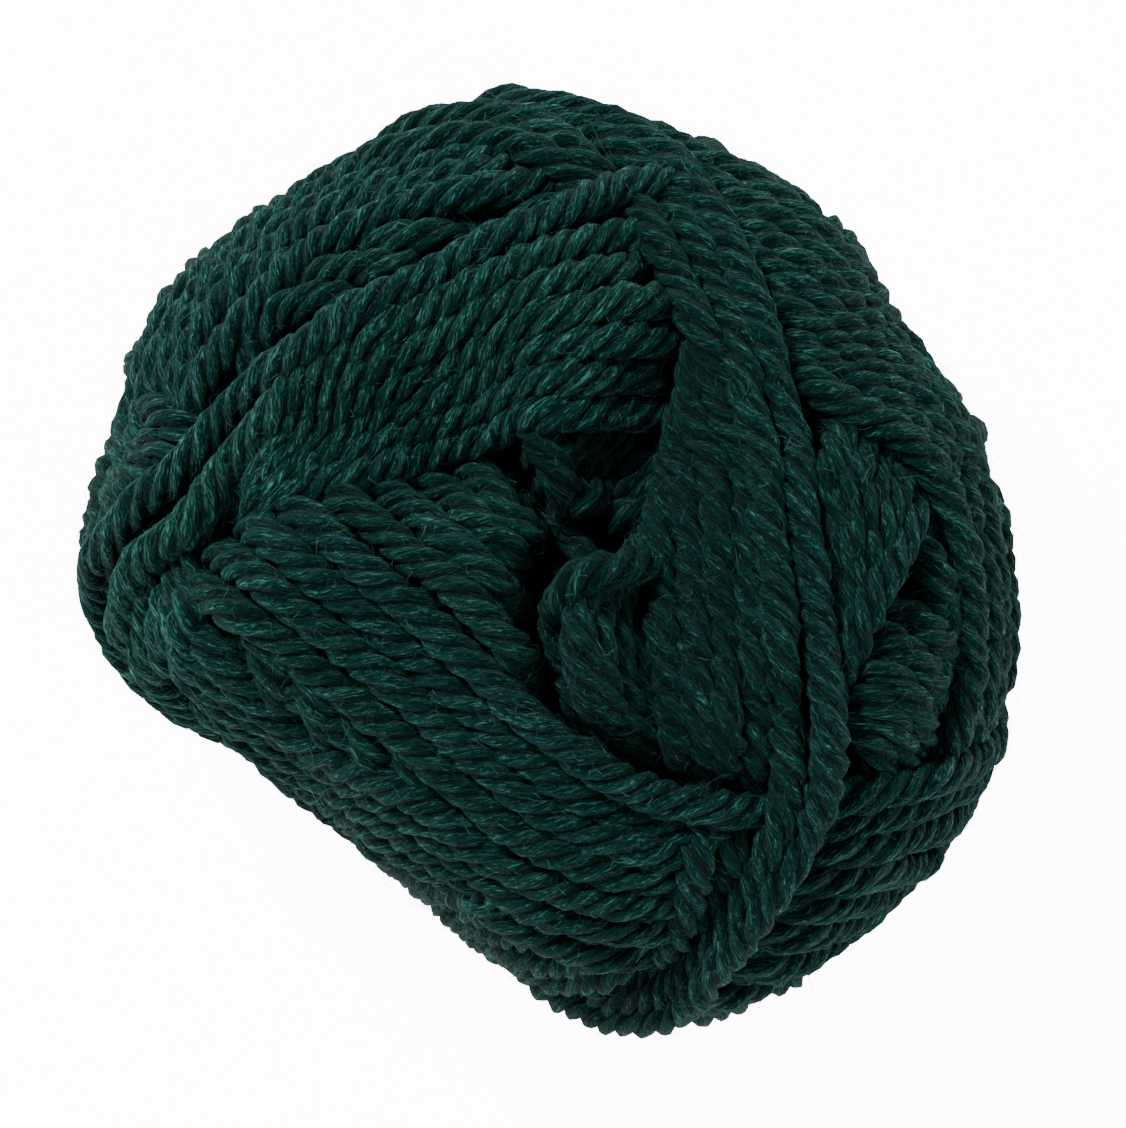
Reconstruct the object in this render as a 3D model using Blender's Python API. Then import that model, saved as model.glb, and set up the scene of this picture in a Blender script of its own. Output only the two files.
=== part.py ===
"""Ball of plied yarn, standing on its flat end with its hollow upright.

One solid: the wound form with its lumpy outline, the three broad bands of
turns that cross each end like a pinwheel, the hollow down its middle and the
small flat on which it stands. Metres, +Z up. The origin is the middle of the
box at the level of the flat.
"""
import math

import bmesh
import bpy
from mathutils import Vector

MM = 0.001

# ---------------------------------------------------------------- sizes, mm
BALL_HEIGHT = 72.0        # from the flat to the top of the bands
MID_HEIGHT = 35.5         # level of the widest section
UPPER_RISE = 33.6         # widest section to the top, under the bands
LOWER_DROP = 37.0         # widest section to where the lower end would be
FULLNESS = 0.80           # 1 is an ellipse, less is squarer in the shoulders
STRAND = 3.7              # thickness of the yarn
BAND_RISE = 3.0           # a band stands this much above the turns under it
BAND_EDGE = 4.0           # width of the slope at a band's edge
SIDE_SHARE = 0.5          # share of a band's rise where it is pressed on the side
BAND_MIN_HALF = 4.2       # half width of a band where it is narrowest
BALL_RADIUS = 46.0        # mean radius, for lengths along a turn
CROSSING_RISE = 0.9       # extra where one band lies on another

HOLLOW_RADIUS = 6.3       # mean radius of the hollow below its mouth
HOLLOW_LOBE = 0.9         # its rounded three-sided section
HOLLOW_MOUTH = 7.5        # radius added by the rounded mouth
MOUTH_DEPTH = 10.5        # how far down the rounded mouth goes
HOLLOW_FLOOR = 24.0       # level of the hollow's floor
HOLLOW_SHIFT = (-0.6, -0.4)

COLUMNS = 84
LOWER_ROWS = 14
UPPER_ROWS = 21
MOUTH_ROWS = 5
WALL_ROWS = 4

# Plan outline of the widest section: direction from the middle (degrees from
# +X towards +Y) and distance to the outside of the yarn.
OUTLINE = [  # direction_deg, radius_mm
    (0, 49.3), (15, 48.2), (30, 46.5), (45, 46.5), (60, 47.5), (75, 48.0),
    (90, 49.3), (105, 49.2), (120, 48.0), (135, 48.0), (150, 49.5),
    (165, 49.0), (180, 49.8), (195, 46.8), (210, 40.6), (225, 37.8),
    (240, 38.0), (255, 40.8), (270, 46.6), (285, 51.2), (300, 52.4),
    (315, 52.4), (330, 52.6), (345, 51.2),
]

# The three bands of turns. Each is wound round the whole ball, passes beside
# the hollow at both ends, and fans out from narrow to wide. It lies between an
# outer and an inner turn, given by two places in plan that each crosses on the
# upper end. Later rows lie on earlier ones.
BANDS = [  # name, outer turn x, y to x, y, inner turn x, y to x, y, all mm
    ("lower_left", (-30.1, -9.4), (14.3, -36.2), (-33.0, -0.7), (4.0, -16.5)),
    ("upper_left", (-38.6, 5.4), (10.5, 35.5), (-33.6, 0.4), (11.3, 9.5)),
    ("right", (11.3, 35.0), (28.4, -7.8), (9.0, 31.0), (7.5, -9.5)),
]


def smooth_step(t):
    t = min(1.0, max(0.0, t))
    return t * t * (3.0 - 2.0 * t)


def closed_curve(rows, direction):
    """Smooth closed curve (Catmull-Rom) through rows of direction, radius."""
    step = 360.0 / len(rows)
    place = (math.degrees(direction) % 360.0) / step
    i = int(place)
    t = place - i
    p0, p1, p2, p3 = (rows[(i + k) % len(rows)][1] for k in (-1, 0, 1, 2))
    return 0.5 * (2 * p1 + (p2 - p0) * t + (2 * p0 - 5 * p1 + 4 * p2 - p3) * t * t
                  + (3 * p1 - p0 - 3 * p2 + p3) * t ** 3)


def on_sphere(x, y):
    """The direction of a place in plan on the upper end, as if on a sphere."""
    direction = math.atan2(y, x)
    across = min(1.0, math.hypot(x, y) / closed_curve(OUTLINE, direction))
    level = math.acos(across ** (1 / FULLNESS))
    return Vector((math.cos(level) * math.cos(direction),
                   math.cos(level) * math.sin(direction), math.sin(level)))


def band_planes():
    """The axes of each band's outer and inner turn."""
    return [(on_sphere(*outer_a).cross(on_sphere(*outer_b)).normalized(),
             on_sphere(*inner_a).cross(on_sphere(*inner_b)).normalized())
            for _, outer_a, outer_b, inner_a, inner_b in BANDS]


def band_cover(planes, place):
    """How far a band covers a place: the place is between its two turns."""
    middle = (planes[0] + planes[1]).normalized()
    spread = (planes[0] - planes[1]) / 2
    along = (place - place.dot(middle) * middle).normalized()
    half = math.hypot(along.dot(spread) * BALL_RADIUS, BAND_MIN_HALF)
    lateral = abs(math.asin(place.dot(middle))) * BALL_RADIUS
    return smooth_step((half - lateral) / BAND_EDGE + 0.5)


def bands_rise(planes, place):
    covers = sorted((band_cover(pair, place) for pair in planes), reverse=True)
    return BAND_RISE * covers[0] + CROSSING_RISE * covers[1]


def fullness(angle):
    return math.cos(angle) ** FULLNESS, math.sin(angle) ** FULLNESS


def hollow_radius(direction):
    return HOLLOW_RADIUS + HOLLOW_LOBE * math.cos(3 * (direction - math.radians(80)))


def on_form(direction, level, share):
    """A place's direction on the sphere, from its share of the outline."""
    level = math.acos(min(1.0, share) ** (1 / FULLNESS)) * (1 if level >= 0 else -1)
    return Vector((math.cos(level) * math.cos(direction),
                   math.cos(level) * math.sin(direction), math.sin(level)))


def section_rows():
    """Rings of the form from the flat, over the side, into the hollow."""
    planes = band_planes()
    directions = [2 * math.pi * i / COLUMNS for i in range(COLUMNS)]
    flat_angle = math.asin((MID_HEIGHT / LOWER_DROP) ** (1 / FULLNESS))
    rings = []

    for row in range(LOWER_ROWS + UPPER_ROWS + 1):
        if row < LOWER_ROWS:
            angle = -flat_angle * (1 - row / LOWER_ROWS)
            inner_share, drop = 0.0, LOWER_DROP
        else:
            angle = math.pi / 2 * (row - LOWER_ROWS) / (UPPER_ROWS + 1) * 0.985
            inner_share, drop = 1.0, UPPER_RISE
        across, up = fullness(abs(angle))
        ring = []
        for d in directions:
            outline = closed_curve(OUTLINE, d)
            inner = (hollow_radius(d) + HOLLOW_MOUTH) * inner_share
            radius = inner + (outline - inner) * across
            place = on_form(d, angle, radius / outline)
            # the bands fade out at the flat and stand out sideways on the side
            rise = bands_rise(planes, place) - 0.5 * BAND_RISE
            z = MID_HEIGHT + math.copysign(drop * up, angle)
            if row == 0:
                z = rise = 0.0
            rise *= min(1.0, z / (2 * STRAND))
            z += (rise + 0.5 * BAND_RISE * inner_share) * math.sin(angle)
            radius += SIDE_SHARE * rise * math.cos(angle)
            ring.append((radius * math.cos(d), radius * math.sin(d),
                         min(max(z, 0.0), BALL_HEIGHT)))
        rings.append(ring)

    rim = rings[-1]
    for row in range(1, MOUTH_ROWS + 1):
        turn = math.pi / 2 * row / MOUTH_ROWS
        ring = []
        for d, (rx, ry, rz) in zip(directions, rim):
            neck = hollow_radius(d)
            start = math.hypot(rx, ry)
            radius = neck + (start - neck) * (1 - math.sin(turn))
            shift = math.sin(turn)
            low = rz - (MOUTH_DEPTH + 0.4 * (rz - MID_HEIGHT - UPPER_RISE)) * (1 - math.cos(turn))
            ring.append((radius * math.cos(d) + HOLLOW_SHIFT[0] * shift,
                         radius * math.sin(d) + HOLLOW_SHIFT[1] * shift, low))
        rings.append(ring)

    neck_ring = rings[-1]
    for row in range(1, WALL_ROWS + 1):
        t = row / WALL_ROWS
        rings.append([(x * (1 - 0.12 * t), y * (1 - 0.12 * t), z + (HOLLOW_FLOOR - z) * t)
                      for x, y, z in neck_ring])
    return rings


def centred(rings):
    points = [p for ring in rings for p in ring]
    cx, cy = ((min(p[a] for p in points) + max(p[a] for p in points)) / 2 for a in (0, 1))
    return [[(x - cx, y - cy, z) for x, y, z in ring] for ring in rings]


def yarn_material():
    material = bpy.data.materials.new("yarn_green")
    material.use_nodes = True
    shader = material.node_tree.nodes["Principled BSDF"]
    shader.inputs["Base Color"].default_value = (0.012, 0.075, 0.062, 1.0)
    shader.inputs["Roughness"].default_value = 0.92
    shader.inputs["Metallic"].default_value = 0.0
    return material


def make_ball():
    bm = bmesh.new()
    rings = [[bm.verts.new((x * MM, y * MM, z * MM)) for x, y, z in ring]
             for ring in centred(section_rows())]
    for low, high in zip(rings, rings[1:]):
        for i in range(COLUMNS):
            j = (i + 1) % COLUMNS
            bm.faces.new((low[i], low[j], high[j], high[i]))
    bm.faces.new(list(reversed(rings[0])))     # the flat it stands on
    bm.faces.new(rings[-1])                    # the floor of the hollow
    bmesh.ops.recalc_face_normals(bm, faces=bm.faces)
    mesh = bpy.data.meshes.new("yarn_ball")
    bm.to_mesh(mesh)
    bm.free()
    mesh.shade_smooth()
    mesh.set_sharp_from_angle(angle=math.radians(50))
    mesh.materials.append(yarn_material())
    ball = bpy.data.objects.new("yarn_ball", mesh)
    bpy.context.scene.collection.objects.link(ball)
    return ball


for old in list(bpy.data.objects):
    bpy.data.objects.remove(old, do_unlink=True)
make_ball()
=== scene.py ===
"""Ball of plied yarn, its turns laid one by one round the wound form.

Every turn is a closed loop round the ball. It is laid on the turns below it,
pulled taut, and pressed in a little, so that strands cross over and under as
they do in the real thing. Only what can be seen is made into yarn. Lengths in
the winding are millimetres; meshes are metres.
"""
import math

import bpy
import numpy as np
from mathutils import Matrix, Vector, kdtree


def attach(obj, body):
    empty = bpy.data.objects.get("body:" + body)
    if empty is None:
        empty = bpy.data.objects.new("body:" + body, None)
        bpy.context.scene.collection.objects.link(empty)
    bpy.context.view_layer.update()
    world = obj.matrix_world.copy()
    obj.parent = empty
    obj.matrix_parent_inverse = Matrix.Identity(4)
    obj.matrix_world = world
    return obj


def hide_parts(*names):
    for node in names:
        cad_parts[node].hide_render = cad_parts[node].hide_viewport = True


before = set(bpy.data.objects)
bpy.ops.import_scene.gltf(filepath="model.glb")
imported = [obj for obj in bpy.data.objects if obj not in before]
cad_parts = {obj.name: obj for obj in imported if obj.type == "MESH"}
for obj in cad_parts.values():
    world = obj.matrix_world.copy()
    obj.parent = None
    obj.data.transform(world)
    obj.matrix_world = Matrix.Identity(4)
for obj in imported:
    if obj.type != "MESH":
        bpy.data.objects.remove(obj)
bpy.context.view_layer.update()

MM = 0.001
RNG = np.random.default_rng(20)

# ------------------------------------------------------------------ the form
# Plan outline of the widest section, every 15 degrees from +X towards +Y, mm
OUTLINE = np.array([
    48.9, 48.1, 45.1, 46.5, 46.8, 47.1, 48.6, 48.4, 46.6, 47.8, 49.0, 47.4,
    49.2, 46.6, 39.7, 36.6, 37.1, 40.1, 46.4, 51.4, 52.5, 52.4, 53.0, 51.1])
AXIS = np.array([-0.35, 0.0])
MID = 35.5                # level of the widest section
UP = 36.3                 # from there to the top
DOWN = 36.3               # and to the bottom
POWER = 2.5               # squareness of the shoulders, 2 is an ellipse
WOUND = 12.5              # thickness of the turns that are laid one by one

# ------------------------------------------------------------------ the yarn
STRAND = 3.75             # thickness of the yarn
RADIUS = STRAND / 2
PLIES = 4
FULL = 1.09               # how much fuller the yarn is than the strands that are wound
PITCH = 11.8              # length of one turn of a ply
RINGS_PER_PITCH = 10
PRESS = 0.66              # how thick a strand counts where others cross it


def outline(azimuth):
    place = (np.degrees(azimuth) % 360.0) / 15.0
    i = np.floor(place).astype(int)
    t = place - i
    p0, p1, p2, p3 = (OUTLINE[(i + k) % len(OUTLINE)] for k in (-1, 0, 1, 2))
    return 0.5 * (2 * p1 + (p2 - p0) * t + (2 * p0 - 5 * p1 + 4 * p2 - p3) * t ** 2
                  + (3 * p1 - p0 - 3 * p2 + p3) * t ** 3)


def form_point(n, inset=0.0):
    """The place on the form in each direction n, as if n were on a sphere."""
    az = np.arctan2(n[..., 1], n[..., 0])
    across = np.hypot(n[..., 0], n[..., 1])
    a = outline(az) - inset
    h = np.where(n[..., 2] > 0, UP, DOWN) - inset
    t = (across ** POWER + np.abs(n[..., 2]) ** POWER) ** (-1 / POWER)
    r = a * across * t
    return np.stack([AXIS[0] + r * np.cos(az), AXIS[1] + r * np.sin(az),
                     MID + h * n[..., 2] * t], axis=-1)


def lift_way(n):
    """The way a turn moves, for each mm it is lifted off the form."""
    way = (form_point(n) - form_point(n, 5.0)) / 5.0
    t = np.clip((n[..., 2:] - 0.25) / 0.5, 0, 1)
    t = t * t * (3 - 2 * t)
    return way * (1 - t) + np.array([0.0, -0.12, 1.0]) * t


def form_direction(p):
    """The direction on the sphere of each place p on the form."""
    q = p - np.array([AXIS[0], AXIS[1], MID])
    a = outline(np.arctan2(q[..., 1], q[..., 0]))
    h = np.where(q[..., 2] > 0, UP, DOWN)
    n = np.stack([q[..., 0] / a, q[..., 1] / a, q[..., 2] / h], axis=-1)
    return n / np.linalg.norm(n, axis=-1, keepdims=True)


# ---------------------------------------------------------------- the camera
FRAME_W, FRAME_H = 1126.0, 1128.0
CAM_DISTANCE = 620.0
CAM_ELEVATION = 83.0
CAM_TARGET = np.array([1.6, -0.9, MID])
CAM_LENS = 186.0
FOCAL = CAM_LENS / 36.0 * FRAME_H


def camera_axes():
    e = math.radians(CAM_ELEVATION)
    back = np.array([0.0, -math.cos(e), math.sin(e)])
    right = np.array([1.0, 0.0, 0.0])
    return right, np.cross(back, right), back


def from_view(points):
    """Places on the form that a view from the camera shows at these pixels."""
    uv = np.asarray(points, dtype=float)
    right, up, back = camera_axes()
    origin = CAM_TARGET + CAM_DISTANCE * back
    ray = ((uv[:, :1] - FRAME_W / 2) / FOCAL * right
           - (uv[:, 1:] - FRAME_H / 2) / FOCAL * up - back)

    def outside(s):
        p = origin + ray * s[:, None]
        q = p - np.array([AXIS[0], AXIS[1], MID])
        a = outline(np.arctan2(q[:, 1], q[:, 0]))
        h = np.where(q[:, 2] > 0, UP, DOWN)
        return (np.hypot(q[:, 0], q[:, 1]) / a) ** POWER + np.abs(q[:, 2] / h) ** POWER - 1

    steps = np.linspace(CAM_DISTANCE - UP - 4, CAM_DISTANCE + 8, 120)
    values = np.array([outside(np.full(len(uv), s)) for s in steps])
    hit = values < 0
    first = np.where(hit.any(0), hit.argmax(0), values.argmin(0))
    hi = steps[first]
    lo = steps[np.maximum(first - 1, 0)]
    for _ in range(30):
        mid = (lo + hi) / 2
        inside = outside(mid) < 0
        hi = np.where(inside, mid, hi)
        lo = np.where(inside, lo, mid)
    s = np.where(hit.any(0), hi, steps[first])
    return form_direction(origin + ray * s[:, None])


# ----------------------------------------------------------------- the turns
SAMPLES = 320


def smooth_ring(values, sigma):
    """Gaussian smoothing of a closed row of samples."""
    half = int(4 * sigma) + 1
    k = np.exp(-0.5 * (np.arange(-half, half + 1) / sigma) ** 2)
    k /= k.sum()
    out = np.zeros_like(values)
    for offset, weight in zip(range(-half, half + 1), k):
        out += weight * np.roll(values, offset, axis=0)
    return out


def closed_spline(knots, samples):
    """Closed centripetal Catmull-Rom through knots, evenly spaced along it."""
    knots = np.asarray(knots)
    n = len(knots)
    dense = []
    for i in range(n):
        p = [knots[(i + k) % n] for k in (-1, 0, 1, 2)]
        t = [0.0]
        for a, b in zip(p, p[1:]):
            t.append(t[-1] + math.sqrt(np.linalg.norm(b - a)) + 1e-9)
        for u in np.linspace(t[1], t[2], 24, endpoint=False):
            a1 = (t[1] - u) / (t[1] - t[0]) * p[0] + (u - t[0]) / (t[1] - t[0]) * p[1]
            a2 = (t[2] - u) / (t[2] - t[1]) * p[1] + (u - t[1]) / (t[2] - t[1]) * p[2]
            a3 = (t[3] - u) / (t[3] - t[2]) * p[2] + (u - t[2]) / (t[3] - t[2]) * p[3]
            b1 = (t[2] - u) / (t[2] - t[0]) * a1 + (u - t[0]) / (t[2] - t[0]) * a2
            b2 = (t[3] - u) / (t[3] - t[1]) * a2 + (u - t[1]) / (t[3] - t[1]) * a3
            dense.append((t[2] - u) / (t[2] - t[1]) * b1 + (u - t[1]) / (t[2] - t[1]) * b2)
    return even_ring(np.array(dense), samples)


def even_ring(points, samples, also=None):
    """Resamples a closed row of points evenly along its length."""
    step = np.linalg.norm(np.roll(points, -1, axis=0) - points, axis=1)
    length = np.concatenate([[0.0], np.cumsum(step)])
    want = np.arange(samples) * length[-1] / samples
    i = np.clip(np.searchsorted(length, want, side="right") - 1, 0, len(points) - 1)
    t = ((want - length[i]) / np.maximum(step[i], 1e-12))[:, None]
    n = len(points)

    def cubic(rows):
        p0, p1, p2, p3 = (rows[(i + k) % n] for k in (-1, 0, 1, 2))
        return 0.5 * (2 * p1 + (p2 - p0) * t + (2 * p0 - 5 * p1 + 4 * p2 - p3) * t ** 2
                      + (3 * p1 - p0 - 3 * p2 + p3) * t ** 3)
    if also is None:
        return cubic(points)
    return cubic(points), cubic(also), length[-1]


def unit(v):
    return v / np.linalg.norm(v, axis=-1, keepdims=True)


def plain_turn(heading_deg, tilt_deg, wobble=0.010):
    """A turn that passes the hollow on its right, heading this way."""
    a, b = math.radians(heading_deg), math.radians(tilt_deg)
    nearest = np.array([-math.sin(a) * math.sin(b), math.cos(a) * math.sin(b), math.cos(b)])
    along = np.array([math.cos(a), math.sin(a), 0.0])
    side = np.cross(nearest, along)
    psi = np.arange(SAMPLES) * 2 * math.pi / SAMPLES
    n = np.cos(psi)[:, None] * nearest + np.sin(psi)[:, None] * along
    sway = sum(RNG.normal(0, wobble / k) * np.sin(k * psi + RNG.uniform(0, 6.3)) for k in (2, 3, 5))
    return unit(n + sway[:, None] * side)


def guided_turn(pixels):
    """A turn through places seen from the camera, closed round the far side.

    Gives the turn, and for each sample whether it lies between those places.
    """
    n = from_view(pixels)
    off = np.linalg.svd(n, full_matrices=False)[2][2]
    a = unit(n[0] - (n[0] @ off) * off)
    b = np.cross(off, a)
    if (n[1] - n[0]) @ b < 0:
        off, b = -off, -b
    end = math.atan2(n[-1] @ b, n[-1] @ a) % (2 * math.pi)
    far = []
    for t in (0.17, 0.34, 0.5, 0.66, 0.83):
        angle = end + (2 * math.pi - end) * t
        stray = ((n[-1] @ off) * (1 - t) ** 2 + (n[0] @ off) * t ** 2) * 0.6
        far.append(unit(math.cos(angle) * a + math.sin(angle) * b + stray * off))
    turn = unit(smooth_ring(closed_spline(list(n) + far, SAMPLES), 1.6))
    last = np.argmax(turn @ n[-1])
    return turn, np.arange(SAMPLES) <= last


# ------------------------------------------------------- laying turn on turn
class Winding:
    """The height of the turns laid so far, over a net of places on the form."""

    def __init__(self, places=60000, near=72):
        i = np.arange(places) + 0.5
        z = 1 - 2 * i / places
        az = math.pi * (1 + 5 ** 0.5) * i
        r = np.sqrt(1 - z * z)
        self.n = np.stack([r * np.cos(az), r * np.sin(az), z], axis=1)
        self.outer = form_point(self.n)
        self.height = np.zeros(places)
        self.owner = np.full(places, -1)
        self.tree = kdtree.KDTree(places)
        for k, p in enumerate(self.outer):
            self.tree.insert(p, k)
        self.tree.balance()
        self.near = np.array([[hit[1] for hit in self.tree.find_n(p, near)]
                              for p in self.outer])
        self.turns = []
        self.coarse = np.arange(0, places, 34)
        self.apart = (np.abs(self.n[self.coarse, 2]) < math.cos(math.radians(24))).astype(float)
        tree = kdtree.KDTree(len(self.coarse))
        for k, i in enumerate(self.coarse):
            tree.insert(self.outer[i], k)
        tree.balance()
        found = [tree.find_n(p, 6) for p in self.outer]
        self.mesh = np.array([[hit[1] for hit in row] for row in found])
        weight = np.exp(-0.5 * np.array([[hit[2] for hit in row] for row in found]) ** 2 / 2.0 ** 2)
        self.share = weight / weight.sum(1, keepdims=True)

    def under(self, turn, width=1.0):
        """For each sample of a turn: places near it and how far aside they lie."""
        p = form_point(turn)
        step = np.roll(p, -1, axis=0) - np.roll(p, 1, axis=0)
        length = np.linalg.norm(step, axis=1, keepdims=True)
        tangent = step / length
        nearest = np.array([self.tree.find(q)[1] for q in p])
        cells = self.near[nearest]
        d = self.outer[cells] - p[:, None]
        along = np.einsum("ijk,ik->ij", d, tangent)
        aside = np.sqrt(np.maximum((d * d).sum(2) - along ** 2, 0))
        return nearest, cells, aside, (np.abs(along) < 0.4 * length) & (aside < width * RADIUS)

    def contact(self, cells, aside, mask):
        lift = PRESS * RADIUS * np.sqrt(np.maximum(1 - (aside / (0.9 * RADIUS)) ** 2, 0))
        level = np.where(mask & (aside < 0.9 * RADIUS), self.height[cells] + lift, -99.0)
        return np.maximum(level.max(1), self.height[cells[:, 0]])

    def record(self, cells, aside, mask, level, owner, part):
        top = level[:, None] + PRESS * RADIUS * np.sqrt(np.maximum(1 - (aside / RADIUS) ** 2, 0))
        use = mask & part[:, None] & (top > self.height[cells])
        c, v = cells[use], top[use]
        order = np.argsort(v, kind="stable")
        self.height[c[order]] = v[order]
        self.owner[c[order]] = owner

    def lay(self, turn, when=None):
        """Lays a turn. when is the part laid now, as a 0 to 1 weight a sample."""
        spacing = 1.0
        nearest, cells, aside, mask = self.under(turn)
        level = self.taut(self.contact(cells, aside, mask), spacing)
        if when is None:
            when = np.ones(len(turn))
        self.turns.append({"n": turn, "level": level, "cell": nearest})
        self.record(cells, aside, mask, level, len(self.turns) - 1, when > 0.5)
        return len(self.turns) - 1

    def lay_rest(self, index, when, bend=24.0):
        """Lays the part of a turn that was left out before."""
        turn = self.turns[index]
        nearest, cells, aside, mask = self.under(turn["n"])
        level = self.taut(self.contact(cells, aside, mask), 1.0, bend)
        w = smooth_ring(when.astype(float), 3.0)
        turn["level"] = smooth_ring(turn["level"] * (1 - w) + level * w, 2.0)
        self.record(cells, aside, mask, turn["level"], index, when > 0.5)

    @staticmethod
    def taut(contact, spacing, bend=24.0):
        """A string under tension bridges hollows instead of following them."""
        reach = 26
        offsets = range(-reach, reach + 1)
        sag = {k: (k * spacing) ** 2 / (2 * bend) for k in offsets}
        high = np.max([np.roll(contact, k) - sag[k] for k in offsets], axis=0)
        low = np.min([np.roll(high, k) + sag[k] for k in offsets], axis=0)
        return smooth_ring(np.minimum(low, smooth_ring(contact, 4.0) + 1.6), 2.0)

    def evened(self, reach):
        """The top of the pile at every place, evened out over this reach."""
        coarse = self.outer[self.coarse]
        pile = np.array([np.percentile(self.height[self.near[i]], 75) for i in self.coarse])
        d2 = ((coarse[:, None] - coarse[None]) ** 2).sum(2)
        w = np.exp(-0.5 * d2 / reach ** 2) * self.apart[None] + 1e-12
        return ((w @ pile / w.sum(1))[self.mesh] * self.share).sum(1)

    def settle(self, reach, keep, share=1.0):
        """Presses the pile back onto the form: levels count from its evened top."""
        pile = self.evened(reach) * share
        self.height = (self.height - pile) * keep
        for turn in self.turns:
            turn["level"] = (turn["level"] - smooth_ring(pile[turn["cell"]], 1.5)) * keep

    def sink(self, dips, spared, shallow):
        """Draws the turns down into the hollow, but for those spared, and a few only part way."""
        def depth_at(n):
            p = form_point(n)
            deep = np.zeros(len(n))
            for pixels, full, whole, depth in dips:
                q = form_point(from_view(pixels))[:, :2]
                away = np.full(len(n), 1e9)
                for a, b in zip(q, q[1:]):
                    t = np.clip(((p[:, :2] - a) @ (b - a)) / ((b - a) @ (b - a)), 0, 1)
                    away = np.minimum(away, np.linalg.norm(p[:, :2] - a - t[:, None] * (b - a), axis=1))
                s = np.clip((whole - away) / (whole - full), 0, 1)
                deep = np.maximum(deep, depth * s * s * (3 - 2 * s))
            return np.where(n[:, 2] > 0.5, deep, 0.0)

        share = np.ones(len(self.turns) + 1)
        share[spared] = 0.0
        share[shallow] = 0.45
        self.height -= share[self.owner] * depth_at(self.n)
        for index, turn in enumerate(self.turns):
            if share[index]:
                turn["level"] = turn["level"] - share[index] * smooth_ring(depth_at(turn["n"]), 1.0)

    def squeeze(self):
        """Flattens the highest piles, once it is known what is seen."""
        for index, turn in enumerate(self.turns):
            turn["seen"] = self.find_seen(index)
        for turn in self.turns:
            level = turn["level"] - 0.75
            turn["level"] = np.minimum(level, 0.2) + 0.35 * np.maximum(level - 0.2, 0)

    def seen(self, index):
        return self.turns[index]["seen"]

    def find_seen(self, index):
        """Which samples of a turn can be seen from outside."""
        turn = self.turns[index]
        nearest, cells, aside, _ = self.under(turn["n"])
        mask = aside < 1.5 * RADIUS
        gap = np.where(mask, self.height[cells] - turn["level"][:, None], 99.0).min(1)
        deep = turn["level"] < np.where(turn["n"][:, 2] < 0.92, -8.5, -13.0)
        return (gap < 0.3 * PRESS * RADIUS) & ~deep


# Where strands dive into the hollow and into the slit below it: pixels of the
# same view, half widths in mm of the full and of the whole dip, and its depth
DIPS = [
    ([(508, 452), (522, 474), (540, 500), (558, 524), (584, 538), (614, 542)], 1.4, 2.7, 12.0),
    ([(560, 542), (540, 570), (528, 590), (536, 618), (546, 648), (555, 677)], 1.5, 3.1, 12.0),
    ([(550, 675), (562, 704), (590, 728), (615, 747), (648, 768), (690, 786), (740, 793), (775, 793)], 0.7, 2.7, 9.0),
    ([(592, 142), (615, 160)], 0.6, 2.2, 5.0),
    ([(524, 150), (522, 168)], 0.4, 1.8, 4.0),
    ([(645, 266), (650, 282)], 0.2, 1.8, 5.0),
    ([(767, 700), (768, 780)], 0.0, 1.3, 5.0),
    ([(660, 862), (680, 868)], 0.1, 1.6, 4.0),
]
SPARED = ("long_lower", "edge", "down_thick", "lower_middle", "ridge_low", "top_left", "ridge")

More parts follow.
